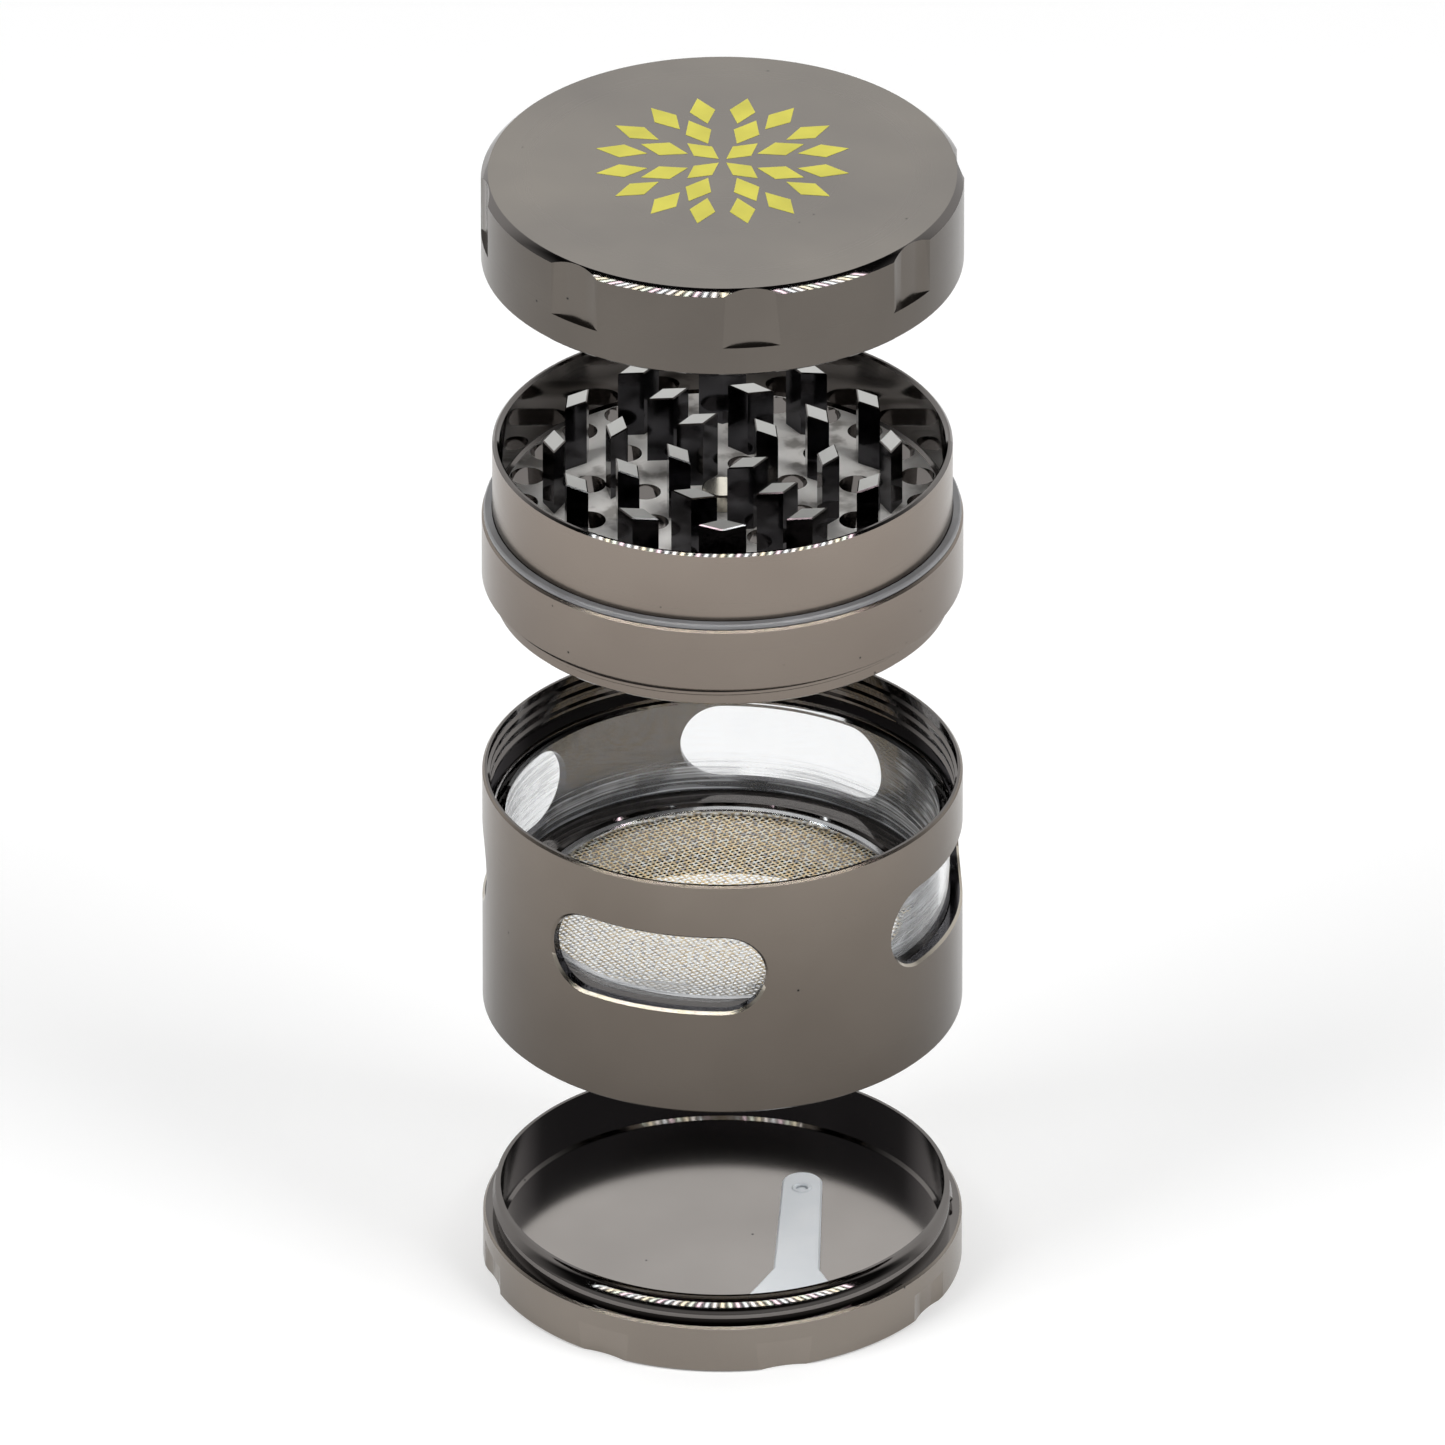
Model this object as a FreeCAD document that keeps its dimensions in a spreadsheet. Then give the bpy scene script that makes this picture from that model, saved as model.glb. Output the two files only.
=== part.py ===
import FreeCAD, Part
import Sketcher
import math
import os
import re

# A four-section hand grinder with a windowed chamber, drawn with its sections lifted apart.
# Millimetres, +Z up the common axis, origin at the middle of the tray's underside, -Y is the front.
# Angles of patterns are counted from the front towards +X.

SIZES = {
    # shared by every section
    "outer_dia": (63.0, "outside of all four sections"),
    "edge_break": (0.3, "small chamfer on turned edges"),
    # sections lifted apart
    "tray_gap": (28.9, "tray rim to chamber underside"),
    "chamber_gap": (26.5, "chamber rim to mill underside"),
    "mill_gap": (27.7, "mill rim to lid underside"),
    # threads of the tray, the chamber and the mill
    "rim_wall": (0.65, "metal outside a threaded socket"),
    "thread_depth": (0.35, "height of a thread ridge"),
    "thread_pitch": (1.6, "rise of one thread turn"),
    "thread_base": (1.0, "width of a thread ridge at its foot"),
    "thread_top": (0.35, "width of a thread ridge at its crest"),
    "thread_clearance": (0.25, "male crest to female crest"),
    "thread_lead": (0.55, "plain length before a thread starts"),
    "spigot_thread_turns": (0.9, "thread turns on the tray's and the mill's spigot"),
    "lower_thread_turns": (1.2, "thread turns in the chamber's lower socket"),
    "upper_thread_turns": (2.6, "thread turns in the chamber's upper socket"),
    "spigot_wall": (0.7, "wall of a threaded spigot under its thread"),
    "spigot_end_gap": (0.4, "room past the end of a seated spigot"),
    # grip scoops of the lid and the tray
    "scoop_count": (8, "scoops round a section"),
    "scoop_cutter_dia": (26.0, "cutter that mills the scoops"),
    "scoop_depth": (0.8, "scoop below the outside"),
    "lid_scoop_height": (8.5, "lid scoops below the lid's top"),
    "lid_scoop_angle": (7.0, "first lid scoop"),
    "tray_scoop_height": (4.2, "tray scoops above the underside"),
    "tray_scoop_angle": (15.0, "first tray scoop"),
    # tray
    "tray_ring_height": (6.8, "outer ring of the tray"),
    "tray_spigot_height": (3.7, "spigot above the ring"),
    "tray_floor": (3.0, "floor thickness"),
    "tray_corner": (0.4, "bevel between floor and wall"),
    # window chamber
    "chamber_height": (34.3, "whole chamber"),
    "chamber_socket_depth": (6.4, "threaded socket for the mill"),
    "window_wall": (1.5, "shell wall at the windows"),
    "lower_wall": (2.2, "shell wall below the screen"),
    "window_count": (4, "windows round the shell"),
    "window_height": (11.1, "height of a window"),
    "window_travel": (35.0, "angle the window cutter swings through"),
    "window_drop": (13.5, "chamber rim to the middle of the windows"),
    "window_angle": (-17.3, "first window"),
    "window_chamfer": (0.35, "bevel round a window"),
    "ledge_drop": (20.25, "chamber rim to the screen ledge"),
    "ledge_thick": (2.2, "ledge that carries the screen"),
    "screen_seat_dia": (50.2, "recess for the screen"),
    "screen_land": (2.1, "rim of the ledge under the screen's edge"),
    "screen_seat_depth": (1.3, "recess for the screen and its ring"),
    "screen_thick": (0.25, "woven wire screen"),
    "screen_clearance": (0.1, "screen and ring inside the recess"),
    "ring_width": (1.2, "snap ring, across"),
    "ring_thick": (0.8, "snap ring, height"),
    "ring_gap_angle": (6.0, "gap of the snap ring"),
    "sleeve_wall": (1.4, "clear sleeve behind the windows"),
    "sleeve_clearance": (0.1, "sleeve inside the shell"),
    "sleeve_top_gap": (0.25, "sleeve below the threaded socket"),
    # toothed mill
    "mill_ring_height": (9.0, "outer ring of the mill"),
    "mill_spigot_height": (3.0, "spigot below the ring"),
    "collar_height": (10.7, "collar above the ring"),
    "collar_wall": (0.9, "wall of the collar"),
    "plate_thick": (2.6, "toothed plate"),
    "plate_corner": (0.4, "bevel between plate and collar"),
    "tooth_height": (9.3, "teeth above the plate"),
    "tooth_width": (6.2, "tooth along its row"),
    "tooth_depth": (3.0, "tooth across its row"),
    "tooth_bevel": (0.15, "bevel round a tooth's top"),
    "tooth_bevel_angle": (45.0, "slope of that bevel"),
    "row_inset": (7.2, "collar wall to the middle of the outer row"),
    "row_pitch": (7.7, "from row to row"),
    "outer_row_teeth": (12, "mill's outer row"),
    "middle_row_teeth": (8, "mill's middle row"),
    "inner_row_teeth": (4, "mill's inner row"),
    "outer_row_angle": (0.0, "first tooth of the outer row"),
    "middle_row_angle": (-15.0, "first tooth of the middle row"),
    "inner_row_angle": (30.0, "first tooth of the inner row"),
    "hole_dia": (4.6, "drop holes of the two outer rings"),
    "inner_hole_dia": (4.1, "drop holes of the inner ring"),
    "hole_wall_gap": (2.8, "collar wall to the middle of the outer holes"),
    "outer_holes": (24, "holes beside the wall"),
    "middle_holes": (12, "holes inside the outer row"),
    "inner_holes": (8, "holes inside the middle row"),
    "middle_hole_angle": (15.0, "first hole of the middle ring"),
    # magnets on the axis
    "magnet_dia": (5.4, "both magnets"),
    "magnet_clearance": (0.05, "magnet in its socket"),
    "magnet_bevel": (0.25, "edge of a magnet"),
    "mill_magnet_stand": (2.4, "mill magnet above the plate"),
    "mill_magnet_sink": (1.8, "mill magnet in the plate"),
    "lid_magnet_length": (3.0, "lid magnet"),
    "magnet_gap": (0.4, "between the magnets when closed"),
    "lid_magnet_proud": (0.1, "lid magnet below its post"),
    # glide ring between mill and lid
    "glide_thick": (0.8, "height of the glide ring"),
    "glide_width": (1.05, "glide ring, across"),
    "glide_clearance": (0.1, "glide ring round the collar"),
    # lid
    "lid_wall": (1.2, "skirt of the lid"),
    "lid_clearance": (0.2, "lid round the collar"),
    "lid_roof": (2.4, "top of the lid"),
    "lid_end_gap": (0.3, "collar rim to the roof when closed"),
    "lid_chamfer": (0.9, "polished chamfer round the top"),
    "lid_tooth_gap": (0.4, "lid teeth above the plate when closed"),
    "lid_post_dia": (8.4, "post that holds the lid magnet"),
    # scraper, lying on the tray's floor
    "scraper_thick": (1.2, "plastic blank"),
    "scraper_handle": (22.4, "middle of the round end to the neck"),
    "scraper_end_dia": (5.3, "round end"),
    "scraper_neck": (6.1, "width at the neck"),
    "scraper_blade": (9.0, "neck to the blade's edge"),
    "scraper_edge": (13.2, "width of the blade's edge"),
    "scraper_corner": (1.0, "rounding of the blade's corners"),
    "scraper_hole_dia": (1.9, "hanging hole"),
    "scraper_hole_inset": (1.6, "hole in front of the round end's middle"),
    "scraper_bevel": (0.25, "softened edges"),
    "scraper_across": (10.5, "round end to the right of the axis"),
    "scraper_behind": (10.6, "round end behind the axis"),
    "scraper_turn": (-2.0, "scraper's lean"),
    "scraper_lift": (0.05, "scraper above the floor"),
}

TOUCHING = 0.01  # how near a point has to be to count as lying on a face

doc = FreeCAD.newDocument("hand_grinder")
sheet = doc.addObject("Spreadsheet::Sheet", "Sizes")
for row, (alias, (number, note)) in enumerate(SIZES.items(), start=1):
    sheet.set(f"A{row}", alias)
    sheet.set(f"B{row}", str(number))
    sheet.setAlias(f"B{row}", alias)
    sheet.set(f"C{row}", note)
doc.recompute()

# Sizes that follow from the driving ones, as expressions
OUTER_R = "(outer_dia / 2)"
SOCKET_R = f"({OUTER_R} - rim_wall)"
FEMALE_R = f"({SOCKET_R} - thread_depth)"
MALE_R = f"({FEMALE_R} - thread_clearance)"
SPIGOT_R = f"({MALE_R} - thread_depth)"
SPIGOT_BORE = f"({SPIGOT_R} - spigot_wall)"
TRAY_HEIGHT = "(tray_ring_height + tray_spigot_height)"
LEDGE_TOP = "(chamber_height - ledge_drop)"
SEAT_TOP = f"({LEDGE_TOP} - screen_seat_depth)"
SEAT_R = "(screen_seat_dia / 2)"
SCREEN_R = f"({SEAT_R} - screen_clearance)"
SLEEVE_BORE = f"({OUTER_R} - window_wall)"
SOCKET_FLOOR = "(chamber_height - chamber_socket_depth)"
LID_BORE = f"({OUTER_R} - lid_wall)"
COLLAR_R = f"({LID_BORE} - lid_clearance)"
MILL_BORE = f"({COLLAR_R} - collar_wall)"
SHOULDER = "(mill_spigot_height + mill_ring_height)"
MILL_HEIGHT = f"({SHOULDER} + collar_height)"
PLATE_TOP = f"({MILL_HEIGHT} - tooth_height)"
PLATE_UNDER = f"({PLATE_TOP} - plate_thick)"
OUTER_ROW = f"({MILL_BORE} - row_inset)"
MIDDLE_ROW = f"({OUTER_ROW} - row_pitch)"
INNER_ROW = f"({MIDDLE_ROW} - row_pitch)"
HALF_PITCH = "row_pitch / 2"
LID_ROOF_UNDER = "(collar_height - glide_thick + lid_end_gap)"
LID_HEIGHT = f"({LID_ROOF_UNDER} + lid_roof)"
LID_PLATE = "(collar_height - tooth_height - glide_thick)"
LID_TOOTH_END = f"({LID_PLATE} + lid_tooth_gap)"
LID_MAGNET_END = f"({LID_PLATE} + mill_magnet_stand + magnet_gap)"
CHAMBER_Z = f"({TRAY_HEIGHT} + tray_gap)"
MILL_Z = f"({CHAMBER_Z} + chamber_height + chamber_gap)"
LID_Z = f"({MILL_Z} + {MILL_HEIGHT} + mill_gap)"


def bound(text):
    """The expression with every alias pointed at the sheet."""
    return re.sub(r"[a-z_]+", lambda m: f"Sizes.{m.group()}" if m.group() in SIZES else m.group(), str(text))


def value(text):
    """What an expression comes to now."""
    return float(sheet.evalExpression(bound(text)))


def drive(feature, **sizes):
    """Binds properties of a feature to expressions."""
    for name, text in sizes.items():
        feature.setExpression(name, bound(text))


def new_body(label, z="0"):
    body = doc.addObject("PartDesign::Body", label)
    body.Label = label
    body.setExpression("Placement.Base.z", bound(z))
    return body


def origin(body, role):
    return next(part for part in body.Origin.OriginFeatures if part.Role == role)


def new_sketch(body, name, plane, z="0", turn="0"):
    """A sketch on an origin plane, raised along its normal or turned about the body's axis."""
    sketch = body.newObject("Sketcher::SketchObject", name)
    sketch.AttachmentSupport = (origin(body, plane), "")
    sketch.MapMode = "FlatFace"
    spin_axis = FreeCAD.Vector(0, 0, 1) if plane == "XY_Plane" else FreeCAD.Vector(0, 1, 0)
    start = FreeCAD.Rotation(spin_axis, value(turn))
    sketch.AttachmentOffset = FreeCAD.Placement(FreeCAD.Vector(0, 0, value(z)), start)
    if z != "0":
        sketch.setExpression("AttachmentOffset.Base.z", bound(z))
    if turn != "0":
        sketch.setExpression("AttachmentOffset.Rotation.Angle", bound(turn))
    return sketch


def constrain(sketch, kind, places, text):
    """A dimension from a first place to a second, bound to an expression, whichever way it points."""
    size = value(text)
    if size < 0:
        places = places[2:] + places[:2]
        text = f"-({text})"
    index = sketch.addConstraint(Sketcher.Constraint(kind, *places, abs(size)))
    sketch.setExpression(f"Constraints[{index}]", bound(text))


def pin(sketch, geometry, end, across, up):
    """Holds a point of a sketch at a place measured from the sketch's origin."""
    constrain(sketch, "DistanceX", (-1, 1, geometry, end), across)
    constrain(sketch, "DistanceY", (-1, 1, geometry, end), up)


def outline(sketch, corners):
    """A closed outline of straight edges through corners given as pairs of expressions."""
    spots = [FreeCAD.Vector(value(across), value(up), 0) for across, up in corners]
    edges = [sketch.addGeometry(Part.LineSegment(a, b)) for a, b in zip(spots, spots[1:] + spots[:1])]
    for edge, following in zip(edges, edges[1:] + edges[:1]):
        sketch.addConstraint(Sketcher.Constraint("Coincident", edge, 2, following, 1))
    for edge, (across, up) in zip(edges, corners):
        pin(sketch, edge, 1, across, up)


def circle(sketch, across, up, diameter):
    middle = FreeCAD.Vector(value(across), value(up), 0)
    ring = sketch.addGeometry(Part.Circle(middle, FreeCAD.Vector(0, 0, 1), value(diameter) / 2))
    pin(sketch, ring, 3, across, up)
    index = sketch.addConstraint(Sketcher.Constraint("Diameter", ring, value(diameter)))
    sketch.setExpression(f"Constraints[{index}]", bound(diameter))


def half_disc(sketch, up, diameter, to_right):
    """A half disc whose straight side stands on the sketch's upright axis."""
    start = -math.pi / 2 if to_right else math.pi / 2
    whole = Part.Circle(FreeCAD.Vector(0, value(up), 0), FreeCAD.Vector(0, 0, 1), value(diameter) / 2)
    arc = sketch.addGeometry(Part.ArcOfCircle(whole, start, start + math.pi))
    ends = sketch.Geometry[arc]
    side = sketch.addGeometry(Part.LineSegment(ends.EndPoint, ends.StartPoint))
    sketch.addConstraint(Sketcher.Constraint("Coincident", arc, 2, side, 1))
    sketch.addConstraint(Sketcher.Constraint("Coincident", arc, 1, side, 2))
    sketch.addConstraint(Sketcher.Constraint("Vertical", side))
    constrain(sketch, "DistanceX", (-1, 1, side, 1), "0")
    pin(sketch, arc, 3, "0", up)
    index = sketch.addConstraint(Sketcher.Constraint("Radius", arc, value(diameter) / 2))
    sketch.setExpression(f"Constraints[{index}]", bound(f"{diameter} / 2"))


def turned(body, name, corners, angle="360", turn="0"):
    """A piece of lathe work: corners are (radius, height), and turn is where its seam lies."""
    sketch = new_sketch(body, f"{name}_profile", "XZ_Plane", turn=turn)
    outline(sketch, corners)
    feature = body.newObject("PartDesign::Revolution", name)
    feature.Profile = sketch
    feature.ReferenceAxis = (sketch, ["V_Axis"])
    drive(feature, Angle=angle)
    return feature


def thread(body, name, foot, crest, start, turns):
    """A helical ridge from the foot radius to the crest radius, rooted a ridge's depth below its foot."""
    root = f"({foot} + ({foot} - {crest}) / 2)"
    middle = f"({start} + thread_base / 2)"
    sketch = new_sketch(body, f"{name}_ridge", "XZ_Plane")
    outline(sketch, [
        (root, f"{middle} - thread_base / 2"),
        (foot, f"{middle} - thread_base / 2"),
        (crest, f"{middle} - thread_top / 2"),
        (crest, f"{middle} + thread_top / 2"),
        (foot, f"{middle} + thread_base / 2"),
        (root, f"{middle} + thread_base / 2"),
    ])
    ridge = body.newObject("PartDesign::AdditiveHelix", name)
    ridge.Profile = sketch
    ridge.ReferenceAxis = (sketch, ["V_Axis"])
    ridge.Mode = "pitch-turns-angle"
    drive(ridge, Pitch="thread_pitch", Turns=turns)


def pad(body, sketch, name, length, downward=False, taper="0"):
    """A straight block on a sketch, which narrows towards its end where its taper is negative."""
    feature = body.newObject("PartDesign::Pad", name)
    feature.Profile = sketch
    feature.Reversed = downward
    drive(feature, Length=length, TaperAngle=taper)
    return feature


def pocket(body, sketch, name, length, along_normal):
    """A cut from the sketch, along its normal or against it, which has to take something away."""
    doc.recompute()
    before = body.Shape.Volume
    feature = body.newObject("PartDesign::Pocket", name)
    feature.Profile = sketch
    feature.Reversed = along_normal
    drive(feature, Length=length)
    doc.recompute()
    if body.Shape.Volume >= before:
        raise RuntimeError(f"{body.Label}: {name} cuts nothing")
    return feature


def around(body, name, features, count):
    """Repeats features evenly round the axis."""
    pattern = body.newObject("PartDesign::PolarPattern", name)
    pattern.Originals = features
    pattern.Axis = (origin(body, "Z_Axis"), [""])
    pattern.Angle = 360
    drive(pattern, Occurrences=count)
    body.Tip = pattern
    doc.recompute()
    return pattern


def facing(angle):
    """Turns a sketch drawn towards +Y to an angle counted from the front towards +X."""
    return f"180 + {angle}"


def scoops(body, bottom, height, angle):
    """Grip scoops, each milled by a cutter that stands upright beside the section."""
    sketch = new_sketch(body, "scoop", "XY_Plane", z=bottom, turn=facing(angle))
    circle(sketch, "0", f"{OUTER_R} - scoop_depth + scoop_cutter_dia / 2", "scoop_cutter_dia")
    cut = pocket(body, sketch, "scoop_cut", height, along_normal=True)
    around(body, "scoops", [cut], "scoop_count")


def tooth_row(body, name, row, count, angle, foot, length, downward):
    """A row of diamond teeth with bevelled ends, standing on a plate or hanging from a roof."""
    shaft = f"({length} - tooth_bevel)"
    end = f"({foot} - {shaft})" if downward else f"({foot} + {shaft})"
    rise = {f"{name}_shaft": (foot, shaft, "0"), f"{name}_end": (end, "tooth_bevel", "-tooth_bevel_angle")}
    features = []
    for feature_name, (height, rise_length, taper) in rise.items():
        sketch = new_sketch(body, f"{feature_name}_outline", "XY_Plane", z=height, turn=facing(angle))
        outline(sketch, [
            ("0", f"{row} - tooth_depth / 2"),
            ("tooth_width / 2", row),
            ("0", f"{row} + tooth_depth / 2"),
            ("-tooth_width / 2", row),
        ])
        features.append(pad(body, sketch, feature_name, rise_length, downward, taper))
        doc.recompute()
    around(body, name, features, count)


def hole_ring(body, name, ring, diameter, count, angle):
    """Drop holes through the toothed plate."""
    sketch = new_sketch(body, f"{name}_outline", "XY_Plane", z=PLATE_TOP, turn=facing(angle))
    circle(sketch, "0", ring, diameter)
    cut = pocket(body, sketch, f"{name}_cut", "plate_thick", along_normal=False)
    around(body, name, [cut], count)


def tray():
    body = new_body("tray")
    turned(body, "turned_tray", [
        ("0", "0"),
        (f"{OUTER_R} - edge_break", "0"),
        (OUTER_R, "edge_break"),
        (OUTER_R, "tray_ring_height - edge_break"),
        (f"{OUTER_R} - edge_break", "tray_ring_height"),
        (SPIGOT_R, "tray_ring_height"),
        (SPIGOT_R, f"{TRAY_HEIGHT} - edge_break"),
        (f"{SPIGOT_R} - edge_break", TRAY_HEIGHT),
        (SPIGOT_BORE, TRAY_HEIGHT),
        (SPIGOT_BORE, "tray_floor + tray_corner"),
        (f"{SPIGOT_BORE} - tray_corner", "tray_floor"),
        ("0", "tray_floor"),
    ])
    thread(body, "tray_thread", SPIGOT_R, MALE_R, "tray_ring_height + thread_lead", "spigot_thread_turns")
    scoops(body, "0", "tray_scoop_height", "tray_scoop_angle")
    return body


def scraper():
    """A flat plastic blank: round handle end, slowly widening handle, flared blade."""
    body = new_body("scraper", "tray_floor + scraper_lift")
    body.Placement.Rotation = FreeCAD.Rotation(FreeCAD.Vector(0, 0, 1), value("scraper_turn"))
    drive(body, **{
        "Placement.Base.x": "scraper_across",
        "Placement.Base.y": "scraper_behind",
        "Placement.Rotation.Angle": "scraper_turn",
    })
    sketch = new_sketch(body, "blank", "XY_Plane")
    end_r = "(scraper_end_dia / 2)"
    edge_y = "-(scraper_handle + scraper_blade)"
    right = [
        (end_r, "0"),
        ("scraper_neck / 2", "-scraper_handle"),
        ("scraper_edge / 2", f"{edge_y} + scraper_corner"),
        ("scraper_edge / 2 - scraper_corner", edge_y),
    ]
    left = [(f"-({across})", up) for across, up in reversed(right)]
    corners = right + left
    spots = [FreeCAD.Vector(value(across), value(up), 0) for across, up in corners]
    edges = [sketch.addGeometry(Part.LineSegment(a, b)) for a, b in zip(spots, spots[1:])]
    round_end = Part.Circle(FreeCAD.Vector(0, 0, 0), FreeCAD.Vector(0, 0, 1), value(end_r))
    cap = sketch.addGeometry(Part.ArcOfCircle(round_end, 0, math.pi))
    for edge, following in zip(edges, edges[1:]):
        sketch.addConstraint(Sketcher.Constraint("Coincident", edge, 2, following, 1))
    for edge, (across, up) in zip(edges, corners):
        pin(sketch, edge, 1, across, up)
    pin(sketch, edges[-1], 2, *corners[-1])
    sketch.addConstraint(Sketcher.Constraint("Coincident", cap, 1, edges[0], 1))
    sketch.addConstraint(Sketcher.Constraint("Coincident", cap, 2, edges[-1], 2))
    constrain(sketch, "DistanceY", (-1, 1, cap, 3), "0")
    blank = pad(body, sketch, "pressed_blank", "scraper_thick")
    doc.recompute()
    rims = [f"Edge{i}" for i, edge in enumerate(blank.Shape.Edges, start=1)
            if edge.BoundBox.ZLength < TOUCHING]
    softened = body.newObject("PartDesign::Chamfer", "softened_edges")
    softened.Base = (blank, rims)
    drive(softened, Size="scraper_bevel")
    doc.recompute()
    hole = new_sketch(body, "hanging_hole", "XY_Plane")
    circle(hole, "0", "-scraper_hole_inset", "scraper_hole_dia")
    pocket(body, hole, "hanging_hole_cut", "scraper_thick", along_normal=True)
    return body


def chamber_shell():
    body = new_body("chamber_shell", CHAMBER_Z)
    bottom_socket = "(tray_spigot_height + spigot_end_gap)"
    lower_bore = f"({OUTER_R} - lower_wall)"
    turned(body, "turned_shell", [
        (SOCKET_R, "0"),
        (f"{OUTER_R} - edge_break", "0"),
        (OUTER_R, "edge_break"),
        (OUTER_R, "chamber_height - edge_break"),
        (f"{OUTER_R} - edge_break", "chamber_height"),
        (SOCKET_R, "chamber_height"),
        (SOCKET_R, SOCKET_FLOOR),
        (SLEEVE_BORE, SOCKET_FLOOR),
        (SLEEVE_BORE, LEDGE_TOP),
        (f"{SEAT_R} + edge_break", LEDGE_TOP),
        (SEAT_R, f"{LEDGE_TOP} - edge_break"),
        (SEAT_R, SEAT_TOP),
        (f"{SEAT_R} - screen_land", SEAT_TOP),
        (f"{SEAT_R} - screen_land", f"{LEDGE_TOP} - ledge_thick"),
        (lower_bore, f"{LEDGE_TOP} - ledge_thick"),
        (lower_bore, bottom_socket),
        (SOCKET_R, bottom_socket),
    ], turn="270 + window_angle + 180 / window_count")
    thread(body, "lower_thread", SOCKET_R, FEMALE_R, "thread_lead", "lower_thread_turns")
    upper_start = f"{SOCKET_FLOOR} + thread_lead"
    thread(body, "upper_thread", SOCKET_R, FEMALE_R, upper_start, "upper_thread_turns")
    windows(body)
    return body


def windows(body):
    """Long windows, each cut by an end mill that plunges and then swings about the axis."""
    middle = "(chamber_height - window_drop)"
    doc.recompute()
    before = body.Shape.Volume
    sketch = new_sketch(body, "window", "XZ_Plane", turn="270 + window_angle")
    inside = f"({SLEEVE_BORE} - window_wall)"
    outside = f"({OUTER_R} + window_wall)"
    outline(sketch, [
        (inside, f"{middle} - window_height / 2"),
        (outside, f"{middle} - window_height / 2"),
        (outside, f"{middle} + window_height / 2"),
        (inside, f"{middle} + window_height / 2"),
    ])
    swing = body.newObject("PartDesign::Groove", "window_swing")
    swing.Profile = sketch
    swing.ReferenceAxis = (sketch, ["V_Axis"])
    swing.Midplane = True
    drive(swing, Angle="window_travel")
    doc.recompute()
    if body.Shape.Volume >= before:
        raise RuntimeError("the window cuts nothing")
    cuts = [swing]
    for name, side in (("left", "-"), ("right", "+")):
        turn = f"360 + window_angle {side} window_travel / 2"
        plunge = new_sketch(body, f"window_{name}", "XZ_Plane", turn=turn)
        half_disc(plunge, middle, "window_height", to_right=name == "right")
        cuts.append(pocket(body, plunge, f"window_{name}_end", outside, along_normal=True))
    pattern = around(body, "windows", cuts, "window_count")
    outer_r = value(OUTER_R)
    low = value(f"{middle} - window_height / 2") - TOUCHING
    high = value(f"{middle} + window_height / 2") + TOUCHING
    edges = []
    for index, edge in enumerate(pattern.Shape.Edges, start=1):
        points = edge.discretize(5)
        on_outside = all(abs(math.hypot(p.x, p.y) - outer_r) < TOUCHING for p in points)
        at_window = all(low < p.z < high for p in points)
        if on_outside and at_window:
            edges.append(f"Edge{index}")
    bevel = body.newObject("PartDesign::Chamfer", "window_bevels")
    bevel.Base = (pattern, edges)
    drive(bevel, Size="window_chamfer")
    body.Tip = bevel


def window_sleeve():
    body = new_body("window_sleeve", CHAMBER_Z)
    outside = f"({SLEEVE_BORE} - sleeve_clearance)"
    inside = f"({outside} - sleeve_wall)"
    top = f"({SOCKET_FLOOR} - sleeve_top_gap)"
    turned(body, "turned_sleeve", [
        (inside, LEDGE_TOP),
        (outside, LEDGE_TOP),
        (outside, f"{top} - edge_break"),
        (f"{outside} - edge_break", top),
        (f"{inside} + edge_break", top),
        (inside, f"{top} - edge_break"),
    ])
    return body


def screen_mesh():
    body = new_body("screen_mesh", CHAMBER_Z)
    turned(body, "screen_disc", [
        ("0", SEAT_TOP),
        (SCREEN_R, SEAT_TOP),
        (SCREEN_R, f"{SEAT_TOP} + screen_thick"),
        ("0", f"{SEAT_TOP} + screen_thick"),
    ])
    return body


def snap_ring():
    """An open ring sprung into the recess above the screen."""
    body = new_body("snap_ring", CHAMBER_Z)
    inside = f"({SCREEN_R} - ring_width)"
    low = f"({SEAT_TOP} + screen_thick)"
    high = f"({low} + ring_thick)"
    soft = "ring_thick / 4"
    turned(body, "open_ring", [
        (inside, low),
        (SCREEN_R, low),
        (SCREEN_R, f"{high} - {soft}"),
        (f"{SCREEN_R} - {soft}", high),
        (f"{inside} + {soft}", high),
        (inside, f"{high} - {soft}"),
    ], angle="360 - ring_gap_angle")
    return body


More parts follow.
